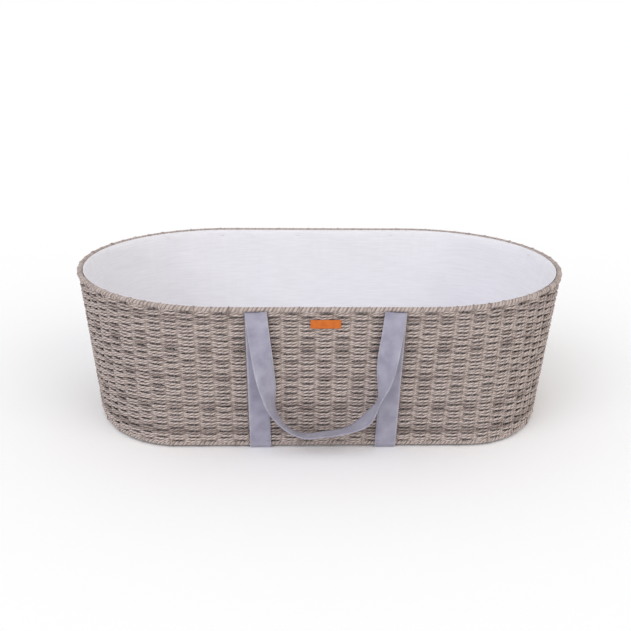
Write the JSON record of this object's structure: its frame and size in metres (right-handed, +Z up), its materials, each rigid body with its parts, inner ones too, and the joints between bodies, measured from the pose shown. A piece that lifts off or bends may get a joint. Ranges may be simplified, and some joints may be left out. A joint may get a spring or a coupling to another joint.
{
  "type": "moses basket",
  "caption": "Oval woven rope basket for a baby, with a cotton liner, a lift-out mattress, straps under the base and two webbing loop handles that swing up.",
  "frame": {"origin": "middle of the footprint, on the surface that the basket stands on", "axes": "+X along the basket's length, +Y to the back, +Z up; the leather tag faces -Y"},
  "size_m": [0.845, 0.4814, 0.2617],
  "materials": {
    "paper_rope": "matt twisted paper rope, taupe",
    "steel_wire": "plain drawn wire",
    "liner_cotton": "white plain-weave cotton",
    "webbing": "lavender-grey cotton twill webbing",
    "thread": "sewing thread",
    "tag_leather": "orange vegetable-tanned leather",
    "foam": "open-cell foam"
  },
  "bodies": {
    "basket": {"woven_wall": "paper_rope", "stakes": "steel_wire", "woven_base": "paper_rope", "base_wire": "steel_wire", "base_cross_wires": "steel_wire", "base_long_wires": "steel_wire", "rim_wire": "steel_wire", "rim_rope": "paper_rope", "base_rope": "paper_rope", "rim_binding_loops": "paper_rope", "base_binding_loops": "paper_rope", "liner_wall": "liner_cotton", "liner_floor": "liner_cotton", "liner_hem": "liner_cotton", "strap_left": "webbing", "strap_right": "webbing", "strap_tacks": "thread", "leather_tag": "tag_leather", "tag_stitches": "thread"},
    "handle_front": {"handle_front": "webbing"},
    "handle_back": {"handle_back": "webbing"},
    "mattress": {"mattress_core": "foam", "mattress_cover": "liner_cotton"}
  },
  "joints": [
    {"name": "front_handle_swing", "type": "hinge", "parent": "basket", "child": "handle_front", "pos_m": [0, -0.2232, 0.2483], "axis": [-1, 0, 0], "range_deg": [0, 180]},
    {"name": "back_handle_swing", "type": "hinge", "parent": "basket", "child": "handle_back", "pos_m": [0, 0.2232, 0.2483], "axis": [1, 0, 0], "range_deg": [0, 180]},
    {"name": "mattress_lift", "type": "slide", "parent": "basket", "child": "mattress", "axis": [0, 0, 1], "range_m": [0, 0.3]}
  ]
}
